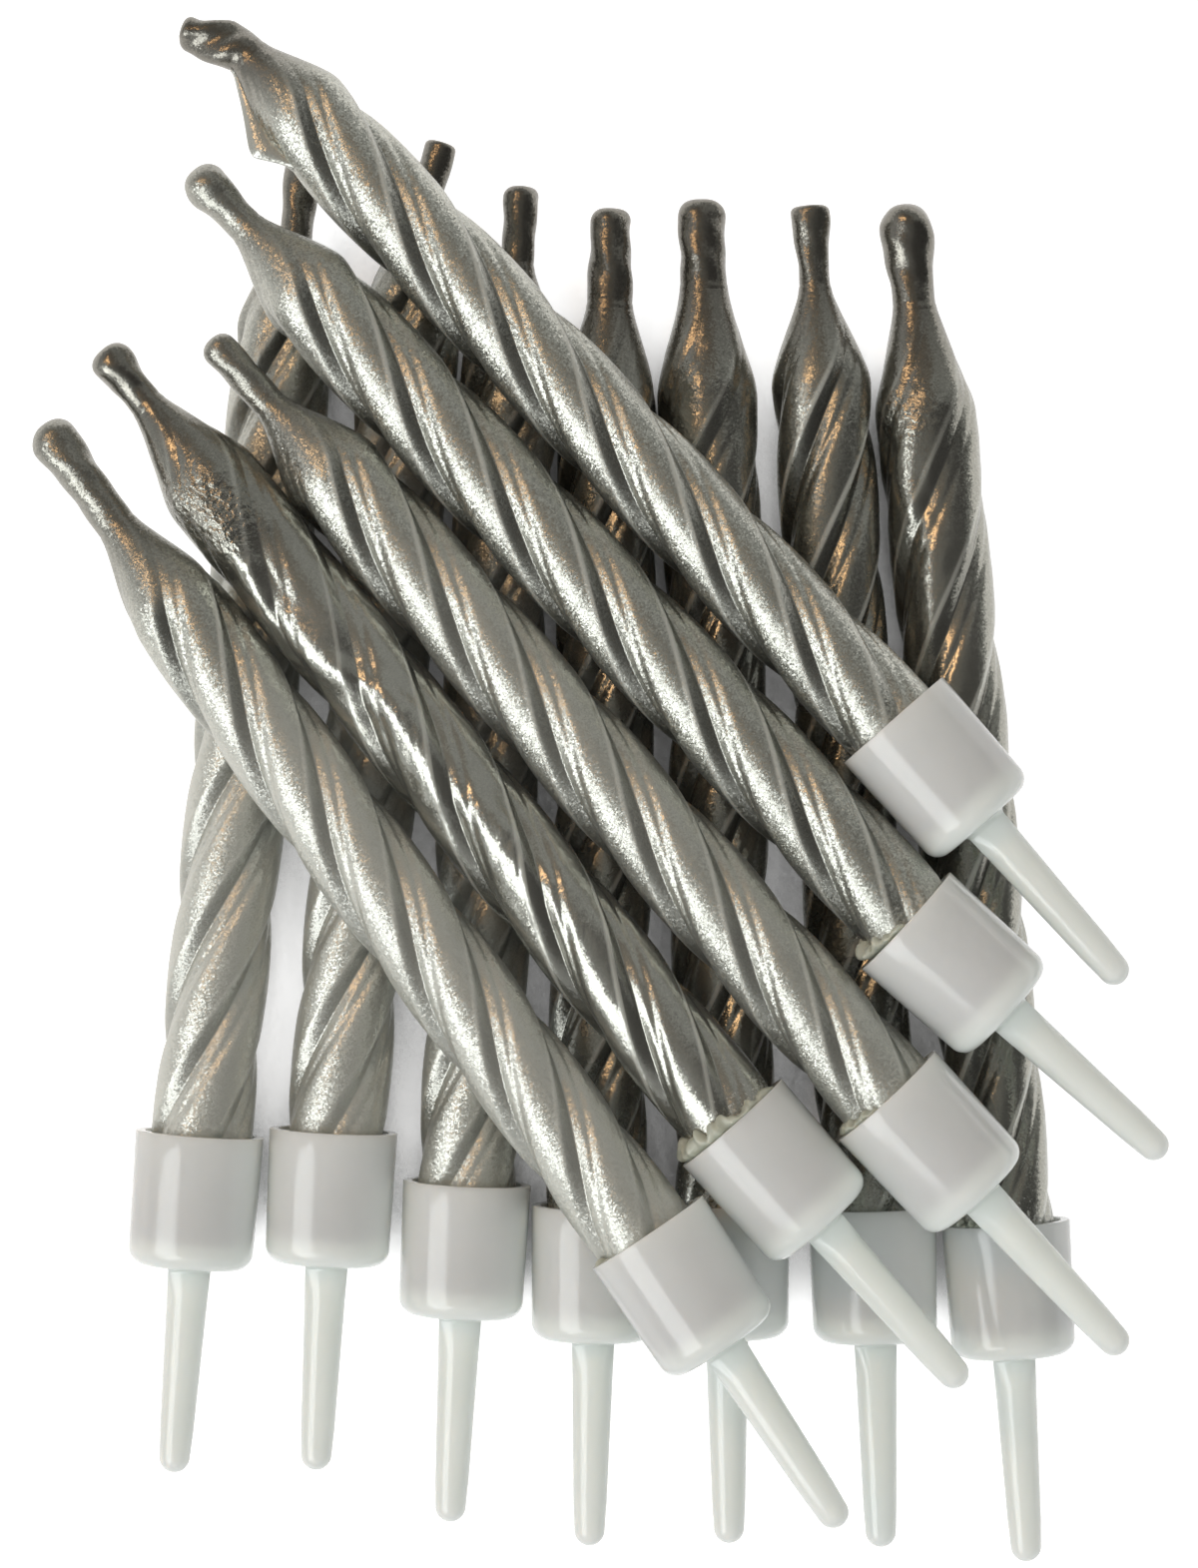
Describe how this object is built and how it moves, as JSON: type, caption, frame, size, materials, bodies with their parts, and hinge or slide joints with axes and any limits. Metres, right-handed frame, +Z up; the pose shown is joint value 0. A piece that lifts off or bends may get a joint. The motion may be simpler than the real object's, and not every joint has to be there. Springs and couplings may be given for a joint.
{
  "type": "cake candle",
  "caption": "Silver twisted birthday cake candles, each pushed into a white plastic cup on a spike, lying loose in a fan with others across it.",
  "frame": {"origin": "middle of the footprint on the surface that the candles lie on", "axes": "+Z up from the surface, +Y towards the wick ends of the fan of candles that lies underneath, +X to the right of that"},
  "size_m": [0.0666, 0.0904, 0.0155],
  "materials": {
    "silver_wax": "silver flake lacquer on paraffin wax, satin metallic",
    "dipped_wick": "cotton wick dipped in wax and silver lacquer",
    "milky_plastic": "milky white translucent polyethylene, satin moulded"
  },
  "bodies": {
    "fan_holders": {"holder_01": "milky_plastic", "holder_02": "milky_plastic", "holder_03": "milky_plastic", "holder_04": "milky_plastic", "holder_05": "milky_plastic", "holder_06": "milky_plastic", "holder_07": "milky_plastic"},
    "candle_01": {"wax_01": "silver_wax", "wick_01": "dipped_wick"},
    "candle_02": {"wax_02": "silver_wax", "wick_02": "dipped_wick"},
    "candle_03": {"wax_03": "silver_wax", "wick_03": "dipped_wick"},
    "candle_04": {"wax_04": "silver_wax", "wick_04": "dipped_wick"},
    "candle_05": {"wax_05": "silver_wax", "wick_05": "dipped_wick"},
    "candle_06": {"wax_06": "silver_wax", "wick_06": "dipped_wick"},
    "candle_07": {"wax_07": "silver_wax", "wick_07": "dipped_wick"},
    "candle_08": {"wax_08": "silver_wax", "wick_08": "dipped_wick"},
    "holder_08": {"holder_08": "milky_plastic"},
    "candle_09": {"wax_09": "silver_wax", "wick_09": "dipped_wick"},
    "holder_09": {"holder_09": "milky_plastic"},
    "candle_10": {"wax_10": "silver_wax", "wick_10": "dipped_wick"},
    "holder_10": {"holder_10": "milky_plastic"},
    "candle_11": {"wax_11": "silver_wax", "wick_11": "dipped_wick"},
    "holder_11": {"holder_11": "milky_plastic"},
    "candle_12": {"wax_12": "silver_wax", "wick_12": "dipped_wick"},
    "holder_12": {"holder_12": "milky_plastic"}
  },
  "joints": [
    {"name": "pull_01", "type": "slide", "parent": "fan_holders", "child": "candle_01", "axis": [0.1028, 0.9945, -0.0198], "range_m": [0, 0.006]},
    {"name": "pull_02", "type": "slide", "parent": "fan_holders", "child": "candle_02", "axis": [0.0871, 0.996, -0.0201], "range_m": [0, 0.006]},
    {"name": "pull_03", "type": "slide", "parent": "fan_holders", "child": "candle_03", "axis": [0.0506, 0.9986, -0.0173], "range_m": [0, 0.006]},
    {"name": "pull_04", "type": "slide", "parent": "fan_holders", "child": "candle_04", "axis": [0.0192, 0.9997, -0.0179], "range_m": [0, 0.006]},
    {"name": "pull_05", "type": "slide", "parent": "fan_holders", "child": "candle_05", "axis": [-0.0105, 0.9998, -0.0177], "range_m": [0, 0.006]},
    {"name": "pull_06", "type": "slide", "parent": "fan_holders", "child": "candle_06", "axis": [-0.0523, 0.9984, -0.0194], "range_m": [0, 0.006]},
    {"name": "pull_07", "type": "slide", "parent": "fan_holders", "child": "candle_07", "axis": [-0.0871, 0.996, -0.0198], "range_m": [0, 0.006]},
    {"name": "lift_08", "type": "slide", "parent": "fan_holders", "child": "holder_08", "axis": [0, 0, 1], "range_m": [0, 0.03]},
    {"name": "pull_08", "type": "slide", "parent": "holder_08", "child": "candle_08", "axis": [-0.6978, 0.7151, -0.0404], "range_m": [0, 0.006]},
    {"name": "lift_09", "type": "slide", "parent": "fan_holders", "child": "holder_09", "axis": [0, 0, 1], "range_m": [0, 0.03]},
    {"name": "pull_09", "type": "slide", "parent": "holder_09", "child": "candle_09", "axis": [-0.6918, 0.7214, -0.0334], "range_m": [0, 0.006]},
    {"name": "lift_10", "type": "slide", "parent": "fan_holders", "child": "holder_10", "axis": [0, 0, 1], "range_m": [0, 0.03]},
    {"name": "pull_10", "type": "slide", "parent": "holder_10", "child": "candle_10", "axis": [-0.6675, 0.7439, -0.0312], "range_m": [0, 0.006]},
    {"name": "lift_11", "type": "slide", "parent": "fan_holders", "child": "holder_11", "axis": [0, 0, 1], "range_m": [0, 0.03]},
    {"name": "pull_11", "type": "slide", "parent": "holder_11", "child": "candle_11", "axis": [-0.6424, 0.7656, -0.0327], "range_m": [0, 0.006]},
    {"name": "lift_12", "type": "slide", "parent": "fan_holders", "child": "holder_12", "axis": [0, 0, 1], "range_m": [0, 0.03]},
    {"name": "pull_12", "type": "slide", "parent": "holder_12", "child": "candle_12", "axis": [-0.6093, 0.7912, -0.0533], "range_m": [0, 0.006]}
  ]
}
